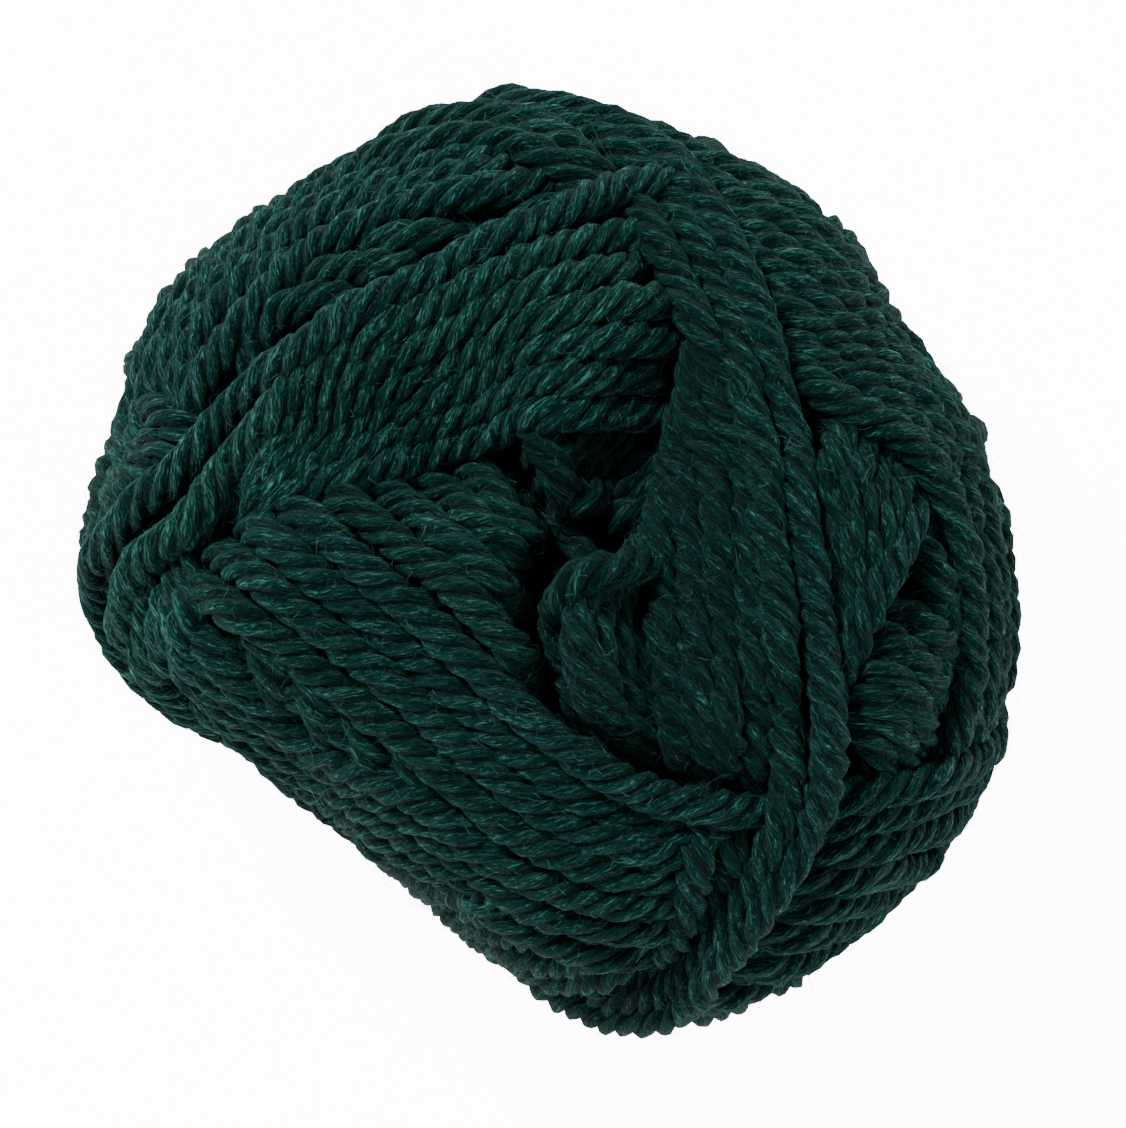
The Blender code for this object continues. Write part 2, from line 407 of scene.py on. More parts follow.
# Strands as the view from the top shows them. A row of knots is a list of pixels
# of that view, 1126 by 1128; a family runs evenly from its first row to its last.
# name, strands in the family, first row, last row
FAMILIES = {
    # older turns, in pieces between the bands of the last set
    "right_curl": (5,
        [(760, 590), (800, 596), (850, 600), (905, 615), (945, 645), (966, 690), (972, 750), (960, 820), (920, 900)],
        [(770, 700), (810, 705), (845, 715), (868, 732), (882, 757), (889, 785), (885, 820), (870, 860), (840, 920)]),
    "right_slant": (5,
        [(870, 270), (860, 330), (846, 400), (835, 460), (822, 520), (810, 590), (795, 680), (770, 800), (740, 900)],
        [(990, 420), (960, 445), (925, 490), (900, 545), (872, 600), (850, 650), (820, 720), (780, 820), (740, 900)]),
    "upper_loops": (4,
        [(640, 230), (560, 208), (520, 212), (450, 206), (400, 212), (360, 225), (328, 243), (300, 270), (270, 310)],
        [(520, 350), (450, 320), (400, 305), (340, 298), (300, 302), (272, 314), (258, 335), (250, 362), (245, 400)]),
    "lower_loops": (4,
        [(230, 500), (236, 560), (250, 610), (265, 650), (278, 700), (290, 745), (300, 790), (320, 840)],
        [(330, 560), (345, 620), (365, 660), (385, 700), (402, 740), (418, 775), (440, 815), (475, 890)]),
    # turns along the shoulders
    "upper_left": (6,
        [(85, 610), (90, 540), (105, 480), (122, 410), (145, 345), (180, 290), (230, 235), (290, 190), (350, 152),
         (410, 118), (465, 100), (520, 94), (580, 100)],
        [(193, 548), (169, 503), (165, 459), (184, 409), (213, 364), (249, 316), (284, 275), (327, 241), (386, 213),
         (445, 197), (505, 188), (560, 180), (610, 176)]),
    "upper_right": (7,
        [(590, 96), (650, 122), (710, 152), (770, 186), (825, 232), (872, 282), (912, 338), (955, 405), (988, 480),
         (1005, 570), (1008, 660), (996, 750), (965, 830)],
        [(700, 262), (735, 300), (770, 340), (805, 375), (845, 405), (890, 425), (928, 458), (952, 500), (966, 550),
         (974, 610), (975, 680), (962, 750), (925, 820)]),
    "lower_left": (5,
        [(95, 640), (130, 692), (190, 730), (250, 770), (310, 818), (370, 862), (430, 905), (490, 948), (545, 985),
         (600, 1015), (660, 1022)],
        [(180, 600), (200, 640), (235, 682), (275, 725), (320, 757), (370, 778), (420, 802), (470, 845), (530, 882),
         (590, 905), (650, 925)]),
    "bottom": (6,
        [(760, 740), (700, 800), (640, 850), (580, 880), (520, 900), (470, 905), (420, 895), (380, 870)],
        [(850, 830), (800, 900), (750, 950), (700, 985), (650, 1008), (600, 1018), (560, 1005), (520, 985)]),
    # the last set
    "deep": (2,
        [(470, 390), (498, 428), (518, 456), (533, 486), (546, 522), (558, 575)],
        [(510, 380), (532, 425), (550, 456), (564, 488), (574, 522), (584, 575)]),
    "mouth": (4,
        [(512, 480), (534, 452), (566, 441), (608, 441), (650, 436), (700, 430), (760, 425)],
        [(562, 562), (577, 532), (602, 520), (632, 517), (658, 511), (700, 500), (760, 490)]),
    "inner": (4,
        [(548, 600), (536, 565), (517, 525), (497, 494), (474, 471), (446, 452), (408, 428), (360, 400)],
        [(562, 712), (530, 668), (500, 635), (470, 604), (430, 568), (390, 536), (345, 502), (290, 462)]),
    "low_right": (3,
        [(950, 880), (905, 897), (860, 910), (810, 915), (760, 912), (700, 900), (600, 900), (500, 860)],
        [(870, 940), (820, 965), (780, 978), (730, 980), (690, 975), (640, 965), (560, 950), (470, 900)]),
    "long_lower": (4,
        [(965, 850), (940, 865), (890, 880), (840, 886), (785, 886), (740, 882), (690, 878), (640, 880), (600, 868),
         (550, 850), (500, 820), (450, 780), (410, 742), (370, 712), (310, 668), (260, 625), (200, 590)],
        [(1005, 750), (985, 768), (960, 775), (900, 790), (840, 800), (790, 812), (745, 812), (700, 808), (650, 795),
         (600, 770), (550, 735), (500, 690), (450, 645), (400, 600), (350, 555), (300, 515), (240, 470)]),
    "across_upper": (6,
        [(178, 700), (185, 620), (190, 565), (207, 524), (250, 500), (300, 487), (360, 473), (420, 452), (480, 434),
         (530, 415), (600, 410), (690, 412)],
        [(135, 685), (112, 620), (135, 560), (195, 515), (228, 462), (280, 402), (330, 360), (400, 321), (500, 274),
         (560, 249), (640, 230), (700, 222)]),
    "hooks": (5,
        [(668, 500), (648, 540), (634, 575), (630, 610), (632, 650), (640, 700), (652, 748), (672, 795)],
        [(670, 556), (638, 568), (602, 571), (573, 578), (558, 602), (560, 644), (574, 690), (594, 735)]),
    "down_middle": (3,
        [(712, 390), (680, 440), (664, 500), (661, 560), (663, 620), (670, 680), (678, 740), (688, 800)],
        [(722, 300), (692, 370), (706, 440), (718, 500), (723, 580), (724, 650), (724, 725), (726, 800)]),
    "down_thick": (1,
        [(606, 176), (626, 196), (648, 222), (670, 262), (692, 310), (716, 370), (738, 440), (750, 520), (753, 600),
         (754, 700), (754, 800)],
        [(606, 176), (626, 196), (648, 222), (670, 262), (692, 310), (716, 370), (738, 440), (750, 520), (753, 600),
         (754, 700), (754, 800)]),
    "lower_middle": (3,
        [(704, 806), (699, 840), (694, 880), (684, 925), (668, 970), (648, 1012)],
        [(770, 806), (766, 840), (757, 880), (738, 925), (712, 968), (684, 1005)]),
    "ridge_low": (1,
        [(612, 128), (640, 156), (668, 192), (698, 240), (722, 300), (744, 370), (762, 450), (774, 560), (781, 650),
         (785, 720), (788, 785), (774, 840), (752, 885), (728, 935), (700, 980), (670, 1010)],
        [(612, 128), (640, 156), (668, 192), (698, 240), (722, 300), (744, 370), (762, 450), (774, 560), (781, 650),
         (785, 720), (788, 785), (774, 840), (752, 885), (728, 935), (700, 980), (670, 1010)]),
    "top_left": (2,
        [(430, 140), (475, 136), (512, 140), (540, 153), (566, 171), (590, 190), (616, 208)],
        [(430, 112), (474, 106), (514, 112), (546, 126), (573, 147), (595, 172), (620, 200)]),
    "edge": (1,
        [(80, 600), (107, 532), (143, 495), (169, 478), (218, 420), (293, 357), (372, 300), (451, 263), (555, 215),
         (622, 185), (690, 178)],
        [(80, 600), (107, 532), (143, 495), (169, 478), (218, 420), (293, 357), (372, 300), (451, 263), (555, 215),
         (622, 185), (690, 178)]),
    "ridge": (1,
        [(548, 98), (606, 114), (648, 138), (682, 169), (713, 214), (752, 300), (778, 390), (798, 480), (810, 560),
         (819, 640), (828, 710), (829, 770), (812, 830), (782, 880), (748, 930), (712, 975), (676, 1012)],
        [(548, 98), (606, 114), (648, 138), (682, 169), (713, 214), (752, 300), (778, 390), (798, 480), (810, 560),
         (819, 640), (828, 710), (829, 770), (812, 830), (782, 880), (748, 930), (712, 975), (676, 1012)]),
}


def family(name):
    count, first, last = FAMILIES[name]
    for i in range(count):
        t = i / max(count - 1, 1)
        yield guided_turn([(p[0] * (1 - t) + q[0] * t, p[1] * (1 - t) + q[1] * t)
                           for p, q in zip(first, last)])


def wind():
    ball = Winding()
    heading = HEADING - SET_TURN * SETS
    for s in range(SETS):
        for i in range(PER_BAND):
            for band in range(3):
                tilt = TILT_IN + (TILT_OUT - TILT_IN) * i / (PER_BAND - 1)
                ball.lay(plain_turn(heading + 120 * band + SET_TURN * i / PER_BAND + RNG.normal(0, 0.5),
                                    tilt + RNG.normal(0, 0.5)))
        for i in range(BELTS):
            for band in range(3):
                ball.lay(plain_turn(heading + 20 + 120 * band + 40 * i / BELTS + RNG.normal(0, 0.7),
                                    TILT_OUT + 4 + (74 - TILT_OUT) * i / BELTS + RNG.normal(0, 0.7)))
        heading += SET_TURN
        ball.settle(3.6, 0.9)

    # the far sides of the turns that the top shows
    placed = {}
    for name in FAMILIES:
        placed[name] = []
        before, after = REACH.get(name, (0, 0))
        for turn, near in family(name):
            near = (near | np.roll(near, after) | np.roll(near, after // 2)
                    | np.roll(near, -before) | np.roll(near, -before // 2))
            placed[name].append((ball.lay(turn, ~near), near))
        ball.settle(3.6, 0.97)

    # then the sides that it shows, in the order they were wound
    right = form_point(ball.turns[placed["long_lower"][-1][0]]["n"])[:, 0] > 0
    for name in FAMILIES:
        for k, (index, near) in enumerate(placed[name]):
            if name == "long_lower" and k == 3:
                near = near & ~right
            ball.lay_rest(index, near, STIFF.get(name, 24.0))
        if name == "lower_middle":
            index, near = placed["long_lower"][-1]
            ball.lay_rest(index, near & right)
        ball.settle(3.6, 0.97)
    ball.sink(DIPS, [index for name in SPARED for index, near in placed[name]],
              [index for index, near in placed["deep"]])
    ball.squeeze()
    # painted light and shade: each family's yarn is painted lighter or darker
    for name, value in PAINTED_LIGHT_BY_FAMILY.items():
        for index, near in placed[name]:
            ball.turns[index]["light"] = value
    return ball


# samples by which the late part of a turn reaches past its first and last knot
REACH = {"upper_left": (20, 0), "upper_right": (20, 20), "lower_left": (20, 20), "long_lower": (0, 20),
         "across_upper": (20, 0), "top_left": (10, 0), "edge": (25, 0), "ridge": (14, 30),
         "ridge_low": (0, 20), "lower_middle": (0, 15), "bottom": (0, 10), "low_right": (20, 0)}
# the least bend in mm that a family is pulled to, where it isn't the usual one
STIFF = {"hooks": 42.0, "down_middle": 38.0, "inner": 32.0, "edge": 28.0, "ridge": 28.0}
# painted light and shade: how much lighter or darker the yarn of a family is painted than the rest, lighter on the
# outer families and most towards the upper left, darker on those in the middle and round and in the hollow
PAINTED_LIGHT_BY_FAMILY = {"across_upper": 0.9, "edge": 0.5, "upper_left": 0.5, "upper_right": 0.3, "lower_left": 0.3,
           "long_lower": 0.15, "hooks": -0.6, "down_middle": -0.8, "down_thick": -0.5, "mouth": -0.9, "deep": -1.2}
SETS = 3
BELTS = 6
PER_BAND = 7
SET_TURN = 32.0
HEADING = 10.0
TILT_IN, TILT_OUT = 11.5, 33.0


# ----------------------------------------------------------------- the yarn
def ply_section():
    """Angle, radius and groove (1 in the groove) of points round a strand; the groove weight also sets the painted
    shade in the yarn's colour.
    """
    lobe = np.radians([-45.0, -29.0, -10.0, 10.0, 29.0])
    centre, ply = 0.555, 0.445
    circle = centre * np.cos(lobe) + np.sqrt(ply ** 2 - (centre * np.sin(lobe)) ** 2)
    radius = 0.97 * circle + 0.03 * 0.94
    # groove weight: full painted shade in the groove, part on the flanks, none on the crest
    groove = np.array([1.0, 0.55, 0.04, 0.0, 0.40])
    angle = np.concatenate([lobe + k * math.pi / 2 for k in range(PLIES)])
    return angle, np.tile(radius, PLIES), np.tile(groove, PLIES), np.repeat(np.arange(PLIES), len(lobe))


def drift(along, length, seed):
    """A smooth row of values around 0, wandering over about this length."""
    out = 0.0
    for k, share in ((1.0, 0.6), (1.7, 0.45), (2.9, 0.3)):
        out = out + share * np.sin(2 * math.pi * along * k / (length * 2.2) + 12.9898 * seed * k + 4.1 * k)
    return out


class Strands:
    """Gathers lengths of yarn and makes them into one mesh."""

    def __init__(self):
        self.points, self.quads, self.tris = [], [], []
        self.fibre, self.tone = [], []
        self.count = 0

    def add(self, centre, outward, start, tone, seed, closed=False):
        m = len(centre)
        if closed:
            tangent = unit(np.roll(centre, -1, axis=0) - np.roll(centre, 1, axis=0))
        else:
            tangent = unit(np.gradient(centre, axis=0))
        normal = unit(outward - (outward * tangent).sum(1)[:, None] * tangent)
        beside = np.cross(tangent, normal)
        step = np.concatenate([[0], np.cumsum(np.linalg.norm(np.diff(centre, axis=0), axis=1))])
        along = start + step
        angle, radius, groove, ply = ply_section()
        twist = 2 * math.pi * along / PITCH
        ease = np.ones(m)
        if closed:
            # a whole number of plies round the loop, and the same yarn where it meets
            length = step[-1] * m / (m - 1)
            twist = twist[0] + 2 * math.pi * round(length / PITCH * PLIES) / PLIES * step / length
            ease = np.clip(np.minimum(step, length - step) / 12.0, 0, 1)
        twist = twist + ease * (0.45 * drift(along, 21.0, seed) + 0.16 * drift(along, 6.0, seed + 0.3))
        own = ease[:, None] * np.stack([drift(along, 7.5, seed + 3.1 * k) for k in range(PLIES)], axis=1)
        turn = angle[None, :] + 0.13 * np.roll(own, 1, axis=1)[:, ply] - twist[:, None]
        taper = np.ones(m)
        if not closed:
            taper[0] = taper[-1] = 0.35
            taper[1] = taper[-2] = 0.8
        swell = 1 + ease * (0.035 * drift(along, 11.0, seed + 7) + 0.02 * drift(along, 4.0, seed + 8))
        rough = 1 + 0.03 * np.clip(RNG.normal(size=(m, len(angle))), -2, 2)
        r = FULL * RADIUS * radius[None, :] * (taper * swell)[:, None] * (1 + 0.07 * own[:, ply] * (1 - groove[None, :])) * rough
        p = (centre[:, None] + (0.93 * r * np.cos(turn))[..., None] * normal[:, None]
             + (1.03 * r * np.sin(turn))[..., None] * beside[:, None])
        k = len(angle)
        base = self.count
        self.points.append(p.reshape(-1, 3))
        f = np.empty((m, k, 3))
        f[..., 0] = np.cos(angle)[None, :] * RADIUS
        f[..., 1] = np.sin(angle)[None, :] * RADIUS
        f[..., 2] = along[:, None] + 53.7 * seed
        self.fibre.append(f.reshape(-1, 3))
        t = np.empty((m, k, 3))
        t[..., 0] = tone[0]
        t[..., 1] = groove[None, :]
        # a random tone per ply, plus the painted light and shade of the family
        t[..., 2] = ((ply * 0.37 + seed * 0.71) % 1.0)[None, :] + tone[1]
        self.tone.append(t.reshape(-1, 3))
        rows = np.arange(m if closed else m - 1)[:, None] * k
        after = (np.arange(m if closed else m - 1)[:, None] + 1) % m * k
        i = np.arange(k)[None, :]
        j = (i + 1) % k
        self.quads.append((base + np.stack([rows + i, rows + j, after + j, after + i], axis=-1)).reshape(-1, 4))
        if closed:
            self.count = base + m * k
            return
        ends = np.array([centre[0], centre[-1]])
        self.points.append(ends)
        self.fibre.append(np.array([[0, 0, along[0]], [0, 0, along[-1]]]))
        self.tone.append(np.array([[tone[0], 0.5, 0.5 + tone[1]]] * 2))
        a = base + m * k
        i = np.arange(k)
        j = (i + 1) % k
        self.tris.append(base + np.stack([np.full(k, m * k), j, i], axis=-1))
        last = (m - 1) * k
        self.tris.append(base + np.stack([np.full(k, m * k + 1), last + i, last + j], axis=-1))
        self.count = a + 2

    def build(self, name, material):
        return mesh_object(name, np.concatenate(self.points), np.concatenate(self.quads),
                           np.concatenate(self.tris) if self.tris else np.empty((0, 3), int),
                           {"fibre": np.concatenate(self.fibre), "tone": np.concatenate(self.tone)},
                           material)


def yarn_lengths(ball):
    """The seen stretches of each turn: their centres, outward ways and start."""
    for index, turn in enumerate(ball.turns):
        seen = ball.seen(index)
        if not seen.any():
            continue
        n = turn["n"]
        outer, lift = form_point(n), lift_way(n)
        centre = outer + lift * turn["level"][:, None]
        centre[:, 2] = np.maximum(centre[:, 2], 1.2 * RADIUS)
        rings_guess = np.linalg.norm(np.roll(centre, -1, 0) - centre, axis=1).sum() / PITCH * PLIES
        quarter = max(4, int(round(rings_guess)))
        rings = quarter * RINGS_PER_PITCH // PLIES
        flag = np.repeat(seen.astype(float)[:, None], 3, axis=1)
        both = np.concatenate([lift, flag], axis=1)
        points, extra, length = even_ring(centre, rings, both)
        show = extra[:, 3] > 0.2
        for _ in range(2):
            show = show | np.roll(show, 1) | np.roll(show, -1)
        spacing = length / rings
        phase = RNG.uniform(0, PITCH)
        tone = RNG.uniform(0, 1)
        if show.all():
            starts = [(int(np.argmin(points[:, 2])), None)]
        else:
            change = np.flatnonzero(show & ~np.roll(show, 1))
            starts = []
            for a in change:
                b = a
                while show[b % rings]:
                    b += 1
                starts.append((a, b))
        for a, b in starts:
            ids = np.arange(a, a + rings if b is None else b) % rings
            if len(ids) < 6:
                continue
            # the second tone value is the painted light and shade of the turn's family
            yield points[ids], extra[ids, :3], phase + a * spacing, (tone, turn.get("light", 0.0)), index, b is None


# ------------------------------------------------------------------- looks
def node(tree, kind, **values):
    n = tree.nodes.new(kind)
    for key, value in values.items():
        setattr(n, key, value)
    return n


def link(tree, out, into):
    tree.links.new(out, into)


def maths(tree, op, a, b=None, clamp=False):
    n = node(tree, "ShaderNodeMath", operation=op, use_clamp=clamp)
    for socket, value in zip(n.inputs, (a, b)):
        if value is None:
            continue
        if isinstance(value, (int, float)):
            socket.default_value = value
        else:
            link(tree, value, socket)
    return n.outputs[0]


def blend_colour(tree, fac, one, two, kind="MIX"):
    n = node(tree, "ShaderNodeMix", data_type="RGBA", blend_type=kind)
    if isinstance(fac, (int, float)):
        n.inputs[0].default_value = fac
    else:
        link(tree, fac, n.inputs[0])
    for socket, value in ((n.inputs[6], one), (n.inputs[7], two)):
        if isinstance(value, tuple):
            socket.default_value = value
        else:
            link(tree, value, socket)
    return n.outputs[2]


def stretched_noise(tree, vector, scale, detail, rough=0.55, offset=(0, 0, 0)):
    mapping = node(tree, "ShaderNodeMapping", vector_type="POINT")
    mapping.inputs["Scale"].default_value = scale
    mapping.inputs["Location"].default_value = offset
    link(tree, vector, mapping.inputs["Vector"])
    noise = node(tree, "ShaderNodeTexNoise")
    noise.inputs["Scale"].default_value = 1.0
    noise.inputs["Detail"].default_value = detail
    noise.inputs["Roughness"].default_value = rough
    link(tree, mapping.outputs["Vector"], noise.inputs["Vector"])
    return noise.outputs["Fac"]


def yarn_material(name):
    """Plied fibre: streaks along each ply, painted shade in the grooves between plies, a tone of its own per strand
    and painted light and shade per family; the streaks are partly painted shade and painted highlight.
    """
    mat = bpy.data.materials.new(name)
    mat.use_nodes = True
    tree = mat.node_tree
    shader = tree.nodes["Principled BSDF"]
    fibre = node(tree, "ShaderNodeAttribute", attribute_name="fibre").outputs["Vector"]
    tone = node(tree, "ShaderNodeAttribute", attribute_name="tone").outputs["Vector"]
    parts = node(tree, "ShaderNodeSeparateXYZ")
    link(tree, tone, parts.inputs[0])
    strand, groove, ply = parts.outputs

    # fibres lie at three slants round the strand, and wander
    along = node(tree, "ShaderNodeSeparateXYZ")
    link(tree, fibre, along.inputs[0])
    wander = node(tree, "ShaderNodeTexNoise")
    wander.inputs["Scale"].default_value = 0.55
    wander.inputs["Detail"].default_value = 2.0
    link(tree, fibre, wander.inputs["Vector"])
    sway = node(tree, "ShaderNodeVectorMath", operation="MULTIPLY_ADD")
    link(tree, wander.outputs["Color"], sway.inputs[0])
    sway.inputs[1].default_value = (1.1, 1.1, 0.0)
    link(tree, fibre, sway.inputs[2])

    def slanted(rate):
        turned = node(tree, "ShaderNodeVectorRotate", rotation_type="Z_AXIS")
        link(tree, sway.outputs[0], turned.inputs["Vector"])
        link(tree, maths(tree, "MULTIPLY", along.outputs[2], rate), turned.inputs["Angle"])
        return turned.outputs[0]

    left, right = slanted(0.09), slanted(-0.07)
    streak = stretched_noise(tree, sway.outputs[0], (3.2, 3.2, 0.6), 2.0)
    cross = stretched_noise(tree, left, (5.0, 5.0, 1.1), 2.0, 0.55, (7, 3, 1))
    fine = stretched_noise(tree, right, (8.0, 8.0, 2.2), 3.0, 0.65, (3, 8, 5))
    slub = stretched_noise(tree, fibre, (0.9, 0.9, 0.11), 2.0, 0.5, (2, 9, 4))

    # teal to green from strand to strand; lighter or darker a little from ply to ply at random, and by the painted
    # light and shade of each family
    hue = maths(tree, "ADD", maths(tree, "MULTIPLY", strand, 0.7), maths(tree, "MULTIPLY", maths(tree, "SUBTRACT", slub, 0.35), 1.0), True)
    base = blend_colour(tree, hue, TEAL, GREEN)
    # fibre streaks: a random tone from fibre to fibre, and also painted shade where the fibre bump is low and a
    # painted highlight where it is high
    depth = maths(tree, "ADD", maths(tree, "MULTIPLY", maths(tree, "SUBTRACT", streak, 0.5), 2.5),
                  maths(tree, "MULTIPLY", maths(tree, "SUBTRACT", cross, 0.5), 2.8))
    depth = maths(tree, "ADD", depth, maths(tree, "MULTIPLY", maths(tree, "SUBTRACT", fine, 0.5), 2.6))
    # painted light and shade: the ply tone carries each family's painted lightening or darkening
    depth = maths(tree, "ADD", depth, maths(tree, "MULTIPLY", maths(tree, "SUBTRACT", ply, 0.5), 0.25))
    dark = maths(tree, "ADD", depth, 0.70, True)
    base = blend_colour(tree, dark, DARK_FIBRE_AND_SHADE, base)
    bright = maths(tree, "MULTIPLY", maths(tree, "SUBTRACT", depth, 0.30), 0.8, True)
    base = blend_colour(tree, bright, base, PALE_FIBRE_AND_HIGHLIGHT)
    # painted shade: the colour is darkened by up to 90 per cent in the grooves between plies, less on their flanks
    shade = maths(tree, "SUBTRACT", 1.0, maths(tree, "MULTIPLY", groove, 0.90))
    dark = node(tree, "ShaderNodeCombineColor")
    for socket in dark.inputs[:3]:
        link(tree, shade, socket)
    base = blend_colour(tree, 1.0, base, dark.outputs[0], "MULTIPLY")
    link(tree, base, shader.inputs["Base Color"])

    rough = maths(tree, "ADD", 0.66, maths(tree, "MULTIPLY", fine, 0.24))
    link(tree, rough, shader.inputs["Roughness"])
    shader.inputs["Sheen Weight"].default_value = 0.08
    shader.inputs["Sheen Roughness"].default_value = 0.4
    shader.inputs["Sheen Tint"].default_value = (0.4, 0.85, 0.76, 1)
    shader.inputs["Specular IOR Level"].default_value = 0.12
    shader.inputs["Specular Tint"].default_value = (0.3, 1.0, 0.9, 1)

    bump = node(tree, "ShaderNodeBump")
    bump.inputs["Strength"].default_value = 1.0
    bump.inputs["Distance"].default_value = 0.0011
    height = maths(tree, "ADD", maths(tree, "MULTIPLY", streak, 0.8), maths(tree, "MULTIPLY", cross, 0.55))
    height = maths(tree, "ADD", height, maths(tree, "MULTIPLY", fine, 0.4))
    link(tree, height, bump.inputs["Height"])
    link(tree, bump.outputs["Normal"], shader.inputs["Normal"])
    return mat


def fuzz_material(name):
    mat = bpy.data.materials.new(name)
    mat.use_nodes = True
    tree = mat.node_tree
    shader = tree.nodes["Principled BSDF"]
    tone = node(tree, "ShaderNodeAttribute", attribute_name="tone").outputs["Vector"]
    parts = node(tree, "ShaderNodeSeparateXYZ")
    link(tree, tone, parts.inputs[0])
    # loose fibres at random from dark to far paler than the yarn: a tone of their own, and a painted highlight of the
    # light they catch
    base = blend_colour(tree, parts.outputs[0], (0.010, 0.085, 0.070, 1), (0.10, 0.31, 0.27, 1))
    link(tree, base, shader.inputs["Base Color"])
    shader.inputs["Roughness"].default_value = 0.7
    shader.inputs["Specular IOR Level"].default_value = 0.15
    return mat


TEAL = (0.0014, 0.039, 0.040, 1)
GREEN = (0.0018, 0.046, 0.030, 1)
# near black for dark fibres and the painted shade between fibres; pale grey green for pale fibres and their painted
# highlight
DARK_FIBRE_AND_SHADE = (0.0001, 0.0030, 0.0027, 1)
PALE_FIBRE_AND_HIGHLIGHT = (0.115, 0.410, 0.345, 1)


class Fuzz:
    """Loose fibres that stand off the yarn, as thin closed three-sided threads."""

    def __init__(self, count):
        self.count = count

    def build(self, name, material, lengths):
        """lengths: centre, outward and along the seen yarn."""
        centre = np.concatenate([c for c, o, t in lengths])
        outward = np.concatenate([o for c, o, t in lengths])
        tangent = np.concatenate([t for c, o, t in lengths])
        pick = RNG.integers(0, len(centre), self.count)
        c, t = centre[pick], unit(tangent[pick])
        n = unit(outward[pick] - (outward[pick] * t).sum(1)[:, None] * t)
        b = np.cross(t, n)
        angle = RNG.normal(0, 0.8, self.count)
        out = np.cos(angle)[:, None] * n + np.sin(angle)[:, None] * b
        side = np.cross(t, out)
        root = c + out * RADIUS * 0.96
        heading = RNG.normal(-0.65, 0.7, self.count)
        way = np.where(RNG.random(self.count) < 0.5, -1.0, 1.0)[:, None] * (
            np.cos(heading)[:, None] * t + np.sin(heading)[:, None] * side)
        bend = np.cross(out, way)
        length = RNG.uniform(0.7, 2.1, self.count) * np.where(RNG.random(self.count) < 0.12, 1.8, 1.0)
        lift = np.clip(RNG.normal(0.38, 0.26, self.count), 0.04, 1.0)
        curl = RNG.normal(0, 1.0, self.count)
        droop = RNG.uniform(0.0, 0.7, self.count) * lift
        rows = []
        for u in (0.0, 0.5, 1.0):
            s = length * u
            rise = (lift * u - droop * u * u) * length
            rows.append(root + way * (s * 0.85)[:, None] + out * rise[:, None]
                        + bend * (curl * s * u)[:, None])
        rad = RNG.uniform(0.018, 0.030, self.count)
        ring = np.radians([90, 210, 330])
        verts = []
        for row, share in zip(rows[:2], (1.0, 0.8)):
            verts.append(row[:, None] + (rad[:, None] * share * np.cos(ring))[..., None] * out[:, None]
                         + (rad[:, None] * share * np.sin(ring))[..., None] * bend[:, None])
        verts = np.concatenate(verts + [rows[2][:, None]], axis=1)
        verts[..., 2] = np.maximum(verts[..., 2], 0.05 + 0.001 * np.arange(7))
        base = np.arange(self.count)[:, None] * 7
        quads = np.array([[i, (i + 1) % 3, 3 + (i + 1) % 3, 3 + i] for i in range(3)])
        quads = (base[:, None] + quads[None]).reshape(-1, 4)
        tris = np.array([[2, 1, 0]] + [[3 + i, 3 + (i + 1) % 3, 6] for i in range(3)])
        tris = (base[:, None] + tris[None]).reshape(-1, 3)
        tone = np.zeros((self.count, 7, 3))
        tone[..., 0] = RNG.random(self.count)[:, None] ** 2.2
        return mesh_object(name, verts.reshape(-1, 3), quads, tris,
                           {"tone": tone.reshape(-1, 3)}, material)


def mesh_object(name, points, quads, tris, attributes, material):
    mesh = bpy.data.meshes.new(name)
    mesh.vertices.add(len(points))
    mesh.vertices.foreach_set("co", (points * MM).astype(np.float32).ravel())
    loops = np.concatenate([quads.ravel(), tris.ravel()])
    mesh.loops.add(len(loops))
    mesh.loops.foreach_set("vertex_index", loops.astype(np.int32))
    starts = np.concatenate([np.arange(len(quads)) * 4, len(quads) * 4 + np.arange(len(tris)) * 3])
    mesh.polygons.add(len(quads) + len(tris))
    mesh.polygons.foreach_set("loop_start", starts.astype(np.int32))
    mesh.update(calc_edges=True)
    for key, rows in attributes.items():
        layer = mesh.attributes.new(key, "FLOAT_VECTOR", "POINT")
        layer.data.foreach_set("vector", rows.astype(np.float32).ravel())
    mesh.shade_smooth()
    mesh.materials.append(material)
    obj = bpy.data.objects.new(name, mesh)
    bpy.context.scene.collection.objects.link(obj)
    return obj


